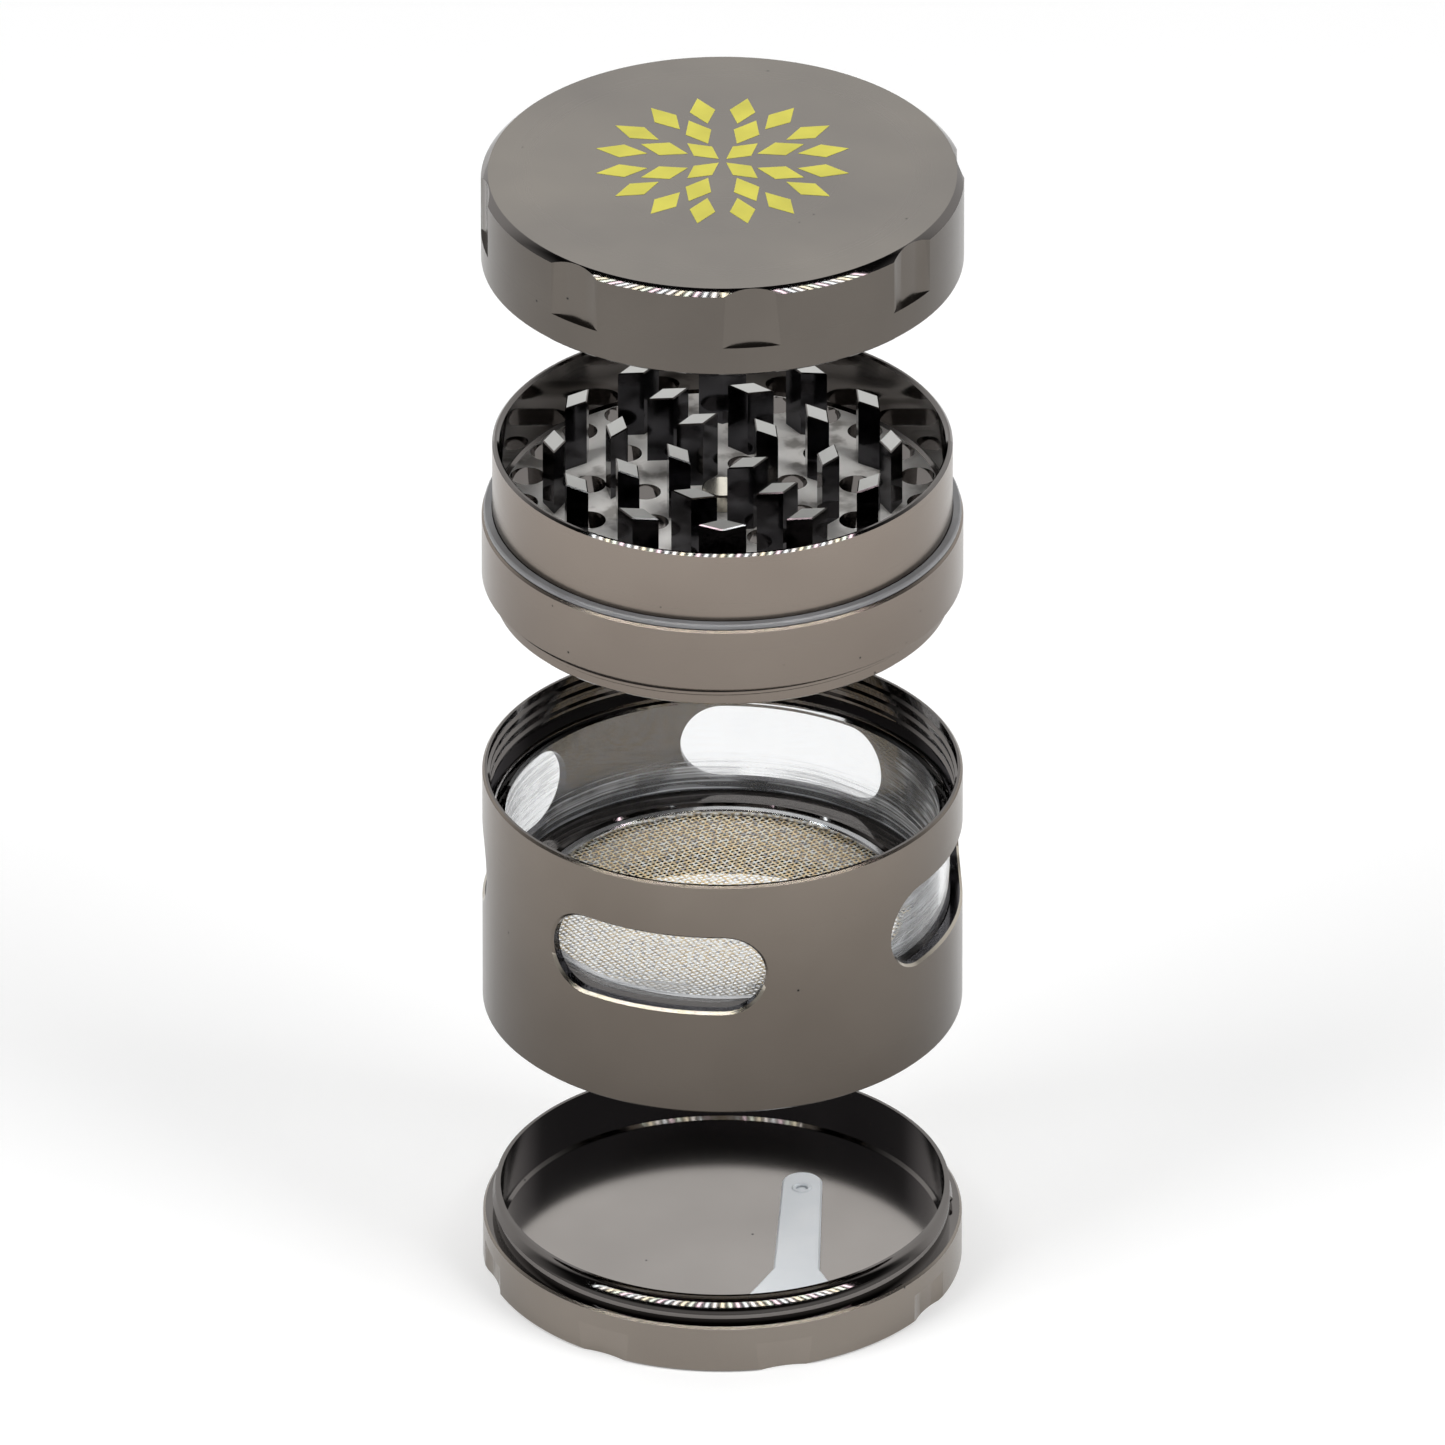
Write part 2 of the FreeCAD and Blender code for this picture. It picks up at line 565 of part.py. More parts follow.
def mill_body():
    body = new_body("mill_body", MILL_Z)
    turned(body, "turned_mill", [
        (SPIGOT_BORE, "0"),
        (f"{SPIGOT_R} - edge_break", "0"),
        (SPIGOT_R, "edge_break"),
        (SPIGOT_R, "mill_spigot_height"),
        (f"{OUTER_R} - edge_break", "mill_spigot_height"),
        (OUTER_R, "mill_spigot_height + edge_break"),
        (OUTER_R, f"{SHOULDER} - edge_break"),
        (f"{OUTER_R} - edge_break", SHOULDER),
        (COLLAR_R, SHOULDER),
        (COLLAR_R, f"{MILL_HEIGHT} - edge_break"),
        (f"{COLLAR_R} - edge_break", MILL_HEIGHT),
        (f"{MILL_BORE} + edge_break", MILL_HEIGHT),
        (MILL_BORE, f"{MILL_HEIGHT} - edge_break"),
        (MILL_BORE, f"{PLATE_TOP} + plate_corner"),
        (f"{MILL_BORE} - plate_corner", PLATE_TOP),
        ("0", PLATE_TOP),
        ("0", PLATE_UNDER),
        (SPIGOT_BORE, PLATE_UNDER),
    ])
    thread(body, "mill_thread", SPIGOT_R, MALE_R, "edge_break", "spigot_thread_turns")
    socket = new_sketch(body, "magnet_socket", "XY_Plane", z=PLATE_TOP)
    circle(socket, "0", "0", "magnet_dia + 2 * magnet_clearance")
    pocket(body, socket, "magnet_socket_cut", "mill_magnet_sink", along_normal=False)
    outer_ring = f"({MILL_BORE} - hole_wall_gap)"
    middle_ring = f"({MIDDLE_ROW} + {HALF_PITCH})"
    inner_ring = f"({INNER_ROW} + {HALF_PITCH})"
    hole_ring(body, "outer_holes", outer_ring, "hole_dia", "outer_holes", "outer_row_angle")
    hole_ring(body, "middle_holes", middle_ring, "hole_dia", "middle_holes", "middle_hole_angle")
    hole_ring(body, "inner_holes", inner_ring, "inner_hole_dia", "inner_holes", "middle_row_angle")
    for name, row in (("outer_row", OUTER_ROW), ("middle_row", MIDDLE_ROW), ("inner_row", INNER_ROW)):
        tooth_row(body, name, row, f"{name}_teeth", f"{name}_angle", PLATE_TOP, "tooth_height", downward=False)
    return body


def mill_magnet():
    body = new_body("mill_magnet", MILL_Z)
    low = f"({PLATE_TOP} - mill_magnet_sink)"
    high = f"({PLATE_TOP} + mill_magnet_stand)"
    turned(body, "magnet", [
        ("0", low),
        ("magnet_dia / 2", low),
        ("magnet_dia / 2", f"{high} - magnet_bevel"),
        ("magnet_dia / 2 - magnet_bevel", high),
        ("0", high),
    ])
    return body


def glide_ring():
    """A slippery ring on the mill's shoulder, which the lid turns on."""
    body = new_body("glide_ring", MILL_Z)
    inside = f"({COLLAR_R} + glide_clearance)"
    outside = f"({inside} + glide_width)"
    high = f"({SHOULDER} + glide_thick)"
    soft = "glide_thick / 4"
    turned(body, "glide", [
        (inside, SHOULDER),
        (f"{outside} - {soft}", SHOULDER),
        (outside, f"{SHOULDER} + {soft}"),
        (outside, f"{high} - {soft}"),
        (f"{outside} - {soft}", high),
        (inside, high),
    ])
    return body


def lid_body():
    body = new_body("lid_body", LID_Z)
    post_r = "(lid_post_dia / 2)"
    post_end = f"({LID_MAGNET_END} + lid_magnet_proud)"
    turned(body, "turned_lid", [
        (LID_BORE, "0"),
        (f"{OUTER_R} - edge_break", "0"),
        (OUTER_R, "edge_break"),
        (OUTER_R, f"{LID_HEIGHT} - lid_chamfer"),
        (f"{OUTER_R} - lid_chamfer", LID_HEIGHT),
        ("0", LID_HEIGHT),
        ("0", post_end),
        (f"{post_r} - edge_break", post_end),
        (post_r, f"{post_end} + edge_break"),
        (post_r, LID_ROOF_UNDER),
        (LID_BORE, LID_ROOF_UNDER),
    ])
    socket = new_sketch(body, "magnet_socket", "XY_Plane", z=post_end)
    circle(socket, "0", "0", "magnet_dia + 2 * magnet_clearance")
    pocket(body, socket, "magnet_socket_cut", "lid_magnet_length - lid_magnet_proud", along_normal=True)
    scoops(body, f"{LID_HEIGHT} - lid_scoop_height", "lid_scoop_height", "lid_scoop_angle")
    length = f"({LID_ROOF_UNDER} - {LID_TOOTH_END})"
    for name, row in (("outer_row", OUTER_ROW), ("middle_row", MIDDLE_ROW), ("inner_row", INNER_ROW)):
        between = f"({row} + {HALF_PITCH})"
        tooth_row(body, name, between, f"{name}_teeth", f"{name}_angle", LID_ROOF_UNDER, length, downward=True)
    return body


def lid_magnet():
    body = new_body("lid_magnet", LID_Z)
    high = f"({LID_MAGNET_END} + lid_magnet_length)"
    turned(body, "magnet", [
        ("0", LID_MAGNET_END),
        ("magnet_dia / 2 - magnet_bevel", LID_MAGNET_END),
        ("magnet_dia / 2", f"{LID_MAGNET_END} + magnet_bevel"),
        ("magnet_dia / 2", high),
        ("0", high),
    ])
    return body


pieces = [
    tray(),
    scraper(),
    chamber_shell(),
    window_sleeve(),
    screen_mesh(),
    snap_ring(),
    mill_body(),
    mill_magnet(),
    glide_ring(),
    lid_body(),
    lid_magnet(),
]
doc.recompute()

for item in doc.Objects:
    if "Invalid" in item.State or "Error" in item.State:
        raise RuntimeError(f"{item.Label} failed: {item.State}")
for piece in pieces:
    shape = piece.Shape
    if shape.isNull() or not shape.isValid() or len(shape.Solids) != 1:
        raise RuntimeError(f"{piece.Label} is not one valid solid")

os.makedirs("parts", exist_ok=True)
for piece in pieces:
    piece.Shape.exportStep(f"parts/{piece.Label}.step")
    box = piece.Shape.BoundBox
    print(f"{piece.Label:14s} {piece.Shape.Volume:10.1f} mm3   z {box.ZMin:7.2f} to {box.ZMax:7.2f}")
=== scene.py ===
import math

import bmesh
import bpy
from mathutils import Matrix, Vector


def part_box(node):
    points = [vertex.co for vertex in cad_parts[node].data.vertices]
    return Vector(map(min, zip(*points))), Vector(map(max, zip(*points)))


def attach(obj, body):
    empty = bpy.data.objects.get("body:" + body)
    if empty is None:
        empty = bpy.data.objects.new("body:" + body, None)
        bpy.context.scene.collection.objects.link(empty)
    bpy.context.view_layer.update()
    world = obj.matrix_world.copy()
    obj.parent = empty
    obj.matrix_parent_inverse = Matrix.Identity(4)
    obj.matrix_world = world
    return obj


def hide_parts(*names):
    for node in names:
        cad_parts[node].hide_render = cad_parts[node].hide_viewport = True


# Looks of a four-section hand grinder, its sections lifted apart along +Z. Metres, -Y is the front.
# The sizes of pieces are named in millimetres and scaled by MM.
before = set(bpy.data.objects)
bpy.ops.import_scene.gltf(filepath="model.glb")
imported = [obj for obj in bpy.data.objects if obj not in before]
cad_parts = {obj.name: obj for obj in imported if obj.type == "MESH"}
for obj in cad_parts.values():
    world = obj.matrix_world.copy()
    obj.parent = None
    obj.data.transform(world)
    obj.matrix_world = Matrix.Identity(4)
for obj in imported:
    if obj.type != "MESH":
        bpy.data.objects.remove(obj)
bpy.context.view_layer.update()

MM = 0.001
WELD = 0.002 * MM
SHARP = math.radians(28)

# What the photograph's frame fixes
PHOTO_SIDE = 1445
PHOTO_PIXELS_PER_MM = 7.635
VIEW_ELEVATION = math.radians(30.1)
VIEW_DISTANCE = 8.0
LOOK_AT = Vector((0, 0, 80.3 * MM))
TO_CAMERA = Vector((0, -math.cos(VIEW_ELEVATION), math.sin(VIEW_ELEVATION)))


# Node helpers
def blank_material(name):
    material = bpy.data.materials.new(name)
    material.use_nodes = True
    tree = material.node_tree
    tree.nodes.clear()
    return material, tree, tree.nodes.new("ShaderNodeOutputMaterial")


def new_material(name):
    material, tree, output = blank_material(name)
    shader = tree.nodes.new("ShaderNodeBsdfPrincipled")
    tree.links.new(shader.outputs["BSDF"], output.inputs["Surface"])
    return material, tree, shader


def feed(tree, made, inputs):
    """Links a node's inputs to sockets, or sets them to values."""
    for key, value in inputs.items():
        if isinstance(value, bpy.types.NodeSocket):
            tree.links.new(value, made.inputs[key])
        else:
            made.inputs[key].default_value = value


def node(tree, kind, inputs=None, **settings):
    made = tree.nodes.new(kind)
    for key, value in settings.items():
        setattr(made, key, value)
    feed(tree, made, inputs or {})
    return made


def math_node(tree, operation, *values):
    return node(tree, "ShaderNodeMath", dict(enumerate(values)), operation=operation).outputs[0]


def object_place(tree):
    return node(tree, "ShaderNodeTexCoord").outputs["Object"]


def ramp(tree, fac, *stops):
    """A colour ramp through (position, colour) stops."""
    made = node(tree, "ShaderNodeValToRGB", {"Fac": fac})
    elements = made.color_ramp.elements
    while len(elements) < len(stops):
        elements.new(0.5)
    for element, (position, colour) in zip(elements, stops):
        element.position = position
        element.color = (*colour, 1)
    return made.outputs["Color"]


def spread(tree, value, low, high, first=0.0, last=1.0, **settings):
    """Maps low to high onto first to last, and stays at those beyond."""
    limits = {"Value": value, "From Min": low, "From Max": high, "To Min": first, "To Max": last}
    return node(tree, "ShaderNodeMapRange", limits, **settings).outputs["Result"]


def between(tree, fac, low, high):
    """Maps 0 to 1 onto low to high."""
    return spread(tree, fac, 0.0, 1.0, low, high)


def bumped(tree, height, strength, distance):
    depth = {"Height": height, "Strength": strength, "Distance": distance * MM}
    return node(tree, "ShaderNodeBump", depth).outputs["Normal"]


def new_group(name, inputs, outputs):
    """A shader node group with float inputs given as name: default, and named float outputs."""
    group = bpy.data.node_groups.new(name, "ShaderNodeTree")
    for label, default in inputs.items():
        socket = group.interface.new_socket(label, in_out="INPUT", socket_type="NodeSocketFloat")
        socket.default_value = default
    for label in outputs:
        group.interface.new_socket(label, in_out="OUTPUT", socket_type="NodeSocketFloat")
    return group, group.nodes.new("NodeGroupInput"), group.nodes.new("NodeGroupOutput")


def use_group(tree, group, **values):
    made = tree.nodes.new("ShaderNodeGroup")
    made.node_tree = group
    for label, value in values.items():
        made.inputs[label.replace("_", " ")].default_value = value
    return made


# Shared effects
def make_lathe_marks():
    """Fine rings that the lathe leaves: they follow radius and height, and waver a little round the axis."""
    group, entry, leave = new_group("lathe_marks", {"Per mm": 6.0, "Waver": 0.15}, ["Lines"])
    place = object_place(group)
    split = node(group, "ShaderNodeSeparateXYZ", {0: place})
    flat = node(group, "ShaderNodeCombineXYZ", {0: split.outputs[0], 1: split.outputs[1]})
    radius = node(group, "ShaderNodeVectorMath", {0: flat.outputs[0]}, operation="LENGTH").outputs["Value"]
    waver = node(group, "ShaderNodeTexNoise", {"Vector": place, "Scale": 90.0, "Detail": 1.0})
    shift = math_node(group, "MULTIPLY", waver.outputs["Fac"], entry.outputs["Waver"])
    scaled = math_node(group, "MULTIPLY", entry.outputs["Per mm"], 1 / MM)
    across = math_node(group, "ADD", math_node(group, "MULTIPLY", radius, scaled), shift)
    up = math_node(group, "ADD", math_node(group, "MULTIPLY", split.outputs[2], scaled), shift)
    rings = node(group, "ShaderNodeCombineXYZ", {0: across, 1: up})
    lines = node(group, "ShaderNodeTexNoise", {"Vector": rings.outputs[0], "Scale": 1.0, "Detail": 3.0})
    group.links.new(lines.outputs["Fac"], leave.inputs["Lines"])
    return group


def make_clouding():
    """Broad soft tone changes of a plated surface, with sparse pits."""
    group, entry, leave = new_group("clouding", {"Scale": 45.0, "Pit scale": 500.0}, ["Cloud", "Pits"])
    place = object_place(group)
    broad = entry.outputs["Scale"]
    cloud = node(group, "ShaderNodeTexNoise", {"Vector": place, "Scale": broad, "Detail": 3.0})
    cells = node(group, "ShaderNodeTexVoronoi", {"Vector": place, "Scale": entry.outputs["Pit scale"]})
    near = spread(group, cells.outputs["Distance"], 0.05, 0.11, 1.0, 0.0)
    chance = node(group, "ShaderNodeSeparateColor", {0: cells.outputs["Color"]}).outputs[0]
    rare = math_node(group, "GREATER_THAN", chance, 0.93)
    group.links.new(cloud.outputs["Fac"], leave.inputs["Cloud"])
    group.links.new(math_node(group, "MULTIPLY", near, rare), leave.inputs["Pits"])
    return group


lathe_marks = make_lathe_marks()
clouding = make_clouding()

# The noise is mostly between these two values, so a tone runs over them.
CLOUD_LOW = 0.3
CLOUD_HIGH = 0.7
PIT_COLOUR = (0.02, 0.02, 0.02, 1)


# Finishes
def plated(name, dark, light, rough, marks, per_mm=6.0, painted_shade=None):
    """Plated metal: its tone drifts between two colours, and lathe marks break up its gloss.

    The painted shade it may be given holds the heights over which the tone is darkened towards the bottom,
    and the share of the tone that is left below them."""
    material, tree, shader = new_material(name)
    cloud = use_group(tree, clouding)
    lines = use_group(tree, lathe_marks, Per_mm=per_mm).outputs["Lines"]
    tone = ramp(tree, cloud.outputs["Cloud"], (CLOUD_LOW, dark), (CLOUD_HIGH, light))
    pitted = {"Factor": cloud.outputs["Pits"], "A": tone, "B": PIT_COLOUR}
    colour = node(tree, "ShaderNodeMix", pitted, data_type="RGBA").outputs["Result"]
    # Painted shade: from the upper height down to the lower one the colour darkens, to the share that is left
    # below.
    if painted_shade is not None:
        low, high, left = painted_shade
        height = node(tree, "ShaderNodeSeparateXYZ", {0: object_place(tree)}).outputs[2]
        shaded = {"Factor": 1.0, "A": colour, "B": spread(tree, height, low * MM, high * MM, left)}
        colour = node(tree, "ShaderNodeMix", shaded, data_type="RGBA", blend_type="MULTIPLY").outputs["Result"]
    feed(tree, shader, {"Base Color": colour, "Roughness": between(tree, lines, *rough), "Metallic": 1.0,
                        "Normal": bumped(tree, lines, marks, 0.01)})
    return material


def cast_plate():
    """The blotchy floor of the toothed plate, which no tool has turned."""
    material, tree, shader = new_material("cast_plate")
    cloud = use_group(tree, clouding, Scale=230.0).outputs["Cloud"]
    tone = ramp(tree, cloud, (0.36, (0.42, 0.4, 0.375)), (0.48, (0.9, 0.875, 0.84)),
                (CLOUD_HIGH, (0.98, 0.965, 0.93)))
    feed(tree, shader, {"Base Color": tone, "Roughness": between(tree, cloud, 0.5, 0.3), "Metallic": 0.1,
                        "Normal": bumped(tree, cloud, 0.5, 0.08)})
    return material


def clear_acrylic():
    material, tree, shader = new_material("clear_acrylic")
    lines = use_group(tree, lathe_marks, Per_mm=1.2, Waver=0.6).outputs["Lines"]
    feed(tree, shader, {"Base Color": (0.9, 0.91, 0.92, 1), "Roughness": between(tree, lines, 0.0, 0.06),
                        "Transmission Weight": 1.0, "IOR": 1.49})
    return material


def bright_metal(name, colour, rough):
    """Bare or nickelled metal with a little clouding in its gloss."""
    material, tree, shader = new_material(name)
    cloud = use_group(tree, clouding, Scale=400.0).outputs["Cloud"]
    worn = tuple(0.82 * part for part in colour)
    tone = ramp(tree, cloud, (CLOUD_LOW, worn), (CLOUD_HIGH, colour))
    gloss = between(tree, cloud, rough * 0.7, rough * 1.3)
    feed(tree, shader, {"Base Color": tone, "Roughness": gloss, "Metallic": 1.0})
    return material


# Where the sleeve is scuffed: below these heights, and beyond these distances to either side
SCUFFS_LOW = (57.0 * MM, 59.6 * MM)
SCUFFS_ASIDE = (20.5 * MM, 24.0 * MM)


def sleeve_scuffs():
    """Fine milky scuffs that run round the clear sleeve, denser in patches, over a faint haze."""
    material, tree, shader = new_material("sleeve_scuffs")
    lines = use_group(tree, lathe_marks, Per_mm=2.2, Waver=1.6).outputs["Lines"]
    cloud = use_group(tree, clouding, Scale=110.0).outputs["Cloud"]
    streak = spread(tree, lines, 0.4, 0.64, 0.0, 0.9)
    patch = spread(tree, cloud, 0.3, 0.55)
    place = node(tree, "ShaderNodeSeparateXYZ", {0: object_place(tree)})
    low = spread(tree, place.outputs[2], *SCUFFS_LOW, 1.0, 0.0)
    aside = spread(tree, math_node(tree, "ABSOLUTE", place.outputs[0]), *SCUFFS_ASIDE)
    where = math_node(tree, "MAXIMUM", low, aside)
    worn = math_node(tree, "MULTIPLY", where, math_node(tree, "MULTIPLY", streak, patch))
    haze = between(tree, cloud, 0.04, 0.24)
    veil = math_node(tree, "MULTIPLY", haze, between(tree, where, 0.3, 1.0))
    feed(tree, shader, {"Base Color": (0.86, 0.88, 0.92, 1), "Roughness": 0.45,
                        "Alpha": math_node(tree, "MAXIMUM", worn, veil)})
    return material


def woven_wire():
    """Bronze and steel coloured wire whose tone changes from crossing to crossing."""
    material, tree, shader = new_material("screen_wire")
    spots = {"Vector": object_place(tree), "Scale": 1300.0, "Detail": 1.0}
    grain = node(tree, "ShaderNodeTexNoise", spots).outputs["Fac"]
    tone = ramp(tree, grain, (0.34, (0.5, 0.5, 0.52)), (0.46, (0.92, 0.7, 0.36)),
                (0.54, (0.97, 0.9, 0.74)), (0.66, (0.98, 0.98, 0.96)))
    feed(tree, shader, {"Base Color": tone, "Roughness": between(tree, grain, 0.35, 0.5), "Metallic": 0.1})
    return material


def moulded_plastic(name, dark, light, rough, transmission):
    """Translucent moulded plastic with a faint grain."""
    material, tree, shader = new_material(name)
    cloud = use_group(tree, clouding, Scale=160.0).outputs["Cloud"]
    tone = ramp(tree, cloud, (CLOUD_LOW, dark), (CLOUD_HIGH, light))
    gloss = between(tree, cloud, rough * 0.8, rough * 1.2)
    feed(tree, shader, {"Base Color": tone, "Roughness": gloss, "Transmission Weight": transmission,
                        "IOR": 1.5})
    return material


lid_satin = plated("lid_satin", (0.106, 0.094, 0.083), (0.128, 0.114, 0.1), (0.24, 0.29), 0.02)
# Painted light: the lid's top is a copy of the side's plating, with the same gloss, painted about twice as
# light, as a lit top looks.
lid_top_painted_light = plated("lid_top_painted_light", (0.225, 0.208, 0.19), (0.272, 0.25, 0.222), (0.24, 0.29), 0.02)
# Painted light: the scoop walls get the side's plating painted a little lighter, so the pockets stand out as
# if lit.
lid_scoop_painted_light = plated("lid_scoop_painted_light", (0.116, 0.103, 0.091), (0.138, 0.123, 0.108), (0.2, 0.26), 0.02)
# The mill's and the chamber's plating carry a painted shade that darkens them towards the bottom.
mill_satin = plated("mill_satin", (0.222, 0.188, 0.161), (0.248, 0.212, 0.182), (0.22, 0.3), 0.04,
                    painted_shade=(103.2, 122.9, 0.8))
chamber_satin = plated("chamber_satin", (0.168, 0.144, 0.122), (0.198, 0.171, 0.146), (0.22, 0.3), 0.04,
                       painted_shade=(39.4, 73.7, 0.52))
tray_satin = plated("tray_satin", (0.22, 0.193, 0.167), (0.25, 0.222, 0.193), (0.22, 0.3), 0.04)
tray_floor_satin = plated("tray_floor_satin", (0.3, 0.279, 0.262), (0.35, 0.327, 0.308), (0.12, 0.18), 0.06)
# Painted shade: a near-black copy of the gunmetal for walls that face into the tray and for the sides of the
# chamber's windows.
wall_painted_shade = plated("wall_painted_shade", (0.06, 0.058, 0.064), (0.085, 0.082, 0.088), (0.08, 0.16), 0.06)
# Painted highlight: a light copy of the gunmetal for the upward-leaning bevel under each window.
lip_painted_highlight = plated("lip_painted_highlight", (0.36, 0.33, 0.28), (0.43, 0.39, 0.33), (0.16, 0.22), 0.02)
# Painted light: the tray's scoop walls get its plating painted a little lighter, so the pockets stand out as
# if lit.
tray_scoop_painted_light = plated("tray_scoop_painted_light", (0.234, 0.206, 0.179), (0.265, 0.235, 0.205), (0.2, 0.26), 0.02)
bore_satin = plated("bore_satin", (0.17, 0.155, 0.146), (0.22, 0.2, 0.19), (0.12, 0.2), 0.1)
polished = plated("polished_gunmetal", (0.128, 0.118, 0.112), (0.155, 0.144, 0.137), (0.04, 0.09), 0.12,
                  per_mm=3.0)
# Painted shade: a near-black copy of the polished gunmetal for the upright sides of the teeth, where shade
# falls between them.
tooth_sides_painted_shade = plated("tooth_sides_painted_shade", (0.055, 0.054, 0.06), (0.08, 0.078, 0.084), (0.06, 0.14), 0.12,
                     per_mm=3.0)
lapped = plated("lapped_tooth_tops", (0.5, 0.5, 0.485), (0.62, 0.62, 0.6), (0.3, 0.45), 0.3, per_mm=9.0)
plate_metal = cast_plate()
acrylic = clear_acrylic()
scuffed = sleeve_scuffs()
wire_metal = woven_wire()
spring_metal = bright_metal("spring_steel", (0.7, 0.7, 0.7), 0.18)
magnet_metal = bright_metal("magnet_nickel", (0.9, 0.86, 0.74), 0.2)
glide_plastic = moulded_plastic("glide_nylon", (0.2, 0.2, 0.205), (0.26, 0.26, 0.27), 0.25, 0.2)
scraper_plastic = moulded_plastic("scraper_plastic", (0.78, 0.82, 0.86), (0.84, 0.87, 0.9), 0.35, 0.15)
print_yellow = moulded_plastic("print_yellow", (0.5, 0.46, 0.03), (0.62, 0.57, 0.05), 0.35, 0.0)


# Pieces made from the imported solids
def put_in_scene(name, data):
    made = bpy.data.objects.new(name, data)
    bpy.context.scene.collection.objects.link(made)
    return made


def reach(spot):
    """Distance of a place from the axis."""
    return math.hypot(spot.x, spot.y)


def outwardness(spot, normal):
    """How far a face looks away from the axis: 1 is straight out and -1 straight in."""
    return Vector((spot.x, spot.y, 0)).normalized().dot(normal)


def radial_normals(mesh, crown):
    """Gives round walls a true cylinder's normals, and crowned edges their soft roll.

    crown gives, for a corner and its face's normal, how far the surface leans upwards, or None."""
    upright, round_wall = 0.02, 0.985
    normals = []
    for face in mesh.polygons:
        for corner in face.loop_indices:
            spot = mesh.vertices[mesh.loops[corner].vertex_index].co
            out = Vector((spot.x, spot.y, 0)).normalized()
            facing = face.normal.dot(out)
            lean = crown(spot / MM, face.normal) if crown is not None else None
            if lean is not None:
                normals.append(out * math.cos(lean) + Vector((0, 0, math.sin(lean))))
            elif abs(face.normal.z) < upright and abs(facing) > round_wall:
                normals.append(out if facing > 0 else -out)
            else:
                normals.append(mesh.corner_normals[corner].vector.copy())
    mesh.normals_split_custom_set(normals)


def welded(cad_node, name, body, finishes, choose=None, soft_edge=None, crown=None, slices=()):
    """A smooth-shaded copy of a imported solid, with one of its finishes chosen for each of its faces.

    slices gives the heights at which its faces are divided, so that a crown can follow them."""
    mesh = bpy.data.meshes.new(name)
    form = bmesh.new()
    form.from_mesh(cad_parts[cad_node].data)
    bmesh.ops.remove_doubles(form, verts=form.verts, dist=WELD)
    bmesh.ops.dissolve_degenerate(form, edges=form.edges, dist=WELD)
    for height in slices:
        bmesh.ops.bisect_plane(form, geom=form.verts[:] + form.edges[:] + form.faces[:], dist=WELD,
                               plane_co=(0, 0, height * MM), plane_no=(0, 0, 1))
    for face in form.faces:
        face.smooth = True
        if choose is not None:
            face.material_index = finishes.index(choose(face.calc_center_median() / MM, face.normal))
    for edge in form.edges:
        middle = (edge.verts[0].co + edge.verts[1].co) / 2 / MM
        kept = soft_edge is not None and soft_edge(middle)
        edge.smooth = kept or edge.calc_face_angle(0) < SHARP
    form.to_mesh(mesh)
    form.free()
    for finish in finishes:
        mesh.materials.append(finish)
    radial_normals(mesh, crown)
    piece = put_in_scene(name, mesh)
    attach(piece, body)
    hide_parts(cad_node)
    return piece


def box_mm(cad_node):
    low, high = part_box(cad_node)
    return low / MM, high / MM


tray_high = box_mm("tray")[1]
chamber_low, chamber_high = box_mm("chamber_shell")
mill_low, mill_high = box_mm("mill_body")
lid_high = box_mm("lid_body")[1]
OUTER_R = tray_high.x

# How a face looks, as a share of its normal, and how near two heights are that count as one
FACING = 0.9
STRAIGHT = 0.97
ASKEW = 0.3
LEVEL = 0.05
# How far a scoop or an edge lies inside the outer round
SCOOP_SUNK = 0.1
EDGE_BAND = 0.5

TRAY_FLOOR_R = 29.0
TRAY_RING_R = 30.2
TRAY_RING_TOP = 6.7
TRAY_THREAD_R = 29.6
TRAY_THREAD_FOOT = 7.0
TRAY_RIM = 0.35
TRAY_CROWN_R = (29.5, 30.4)
# Heights up the tray's spigot and its lean there in degrees
TRAY_CROWN = ((7.6, 0), (8.2, 30), (8.6, 42), (9.7, 48), (10.1, 64), (10.5, 84))
TRAY_SLICES = (8.0, 8.4, 8.7, 9.0, 9.4, 9.75, 10.1)


def tray_finish(spot, normal):
    if normal.z > FACING and reach(spot) < TRAY_FLOOR_R:
        return tray_floor_satin
    # Painted shade: faces that look in towards the axis get the near-black copy.
    if outwardness(spot, normal) < -FACING:
        return wall_painted_shade
    on_ring = spot.z < TRAY_RING_TOP and reach(spot) > TRAY_RING_R
    # Painted light: scoop walls are lighter than the rest of the ring.
    if on_ring and abs(normal.z) < ASKEW and reach(spot) < OUTER_R - SCOOP_SUNK:
        return tray_scoop_painted_light
    return tray_satin if on_ring or normal.z < -FACING else polished


def rolled(height, *stops):
    """Straight pieces through (height, degrees) stops, as an angle."""
    for (low, first), (high, last) in zip(stops, stops[1:]):
        if height <= high:
            share = max(0, (height - low) / (high - low))
            return math.radians(first + share * (last - first))
    return math.radians(stops[-1][1])


def on_tray_thread(spot):
    return reach(spot) > TRAY_THREAD_R and TRAY_THREAD_FOOT < spot.z < tray_high.z - TRAY_RIM


def tray_crown(spot, normal):
    """The spigot rolls over from its root to its rim."""
    on_spigot = TRAY_CROWN_R[0] < reach(spot) < TRAY_CROWN_R[1] and spot.z >= TRAY_CROWN[0][0]
    if not on_spigot or outwardness(spot, normal) < 0.2:
        return None
    return rolled(spot.z, *TRAY_CROWN)


BORE_R = (29.5, 30.2)
WINDOW_INNER_R = 30.05
WINDOW_ABOVE_FOOT = 8.0
WINDOW_BELOW_RIM = 5.0


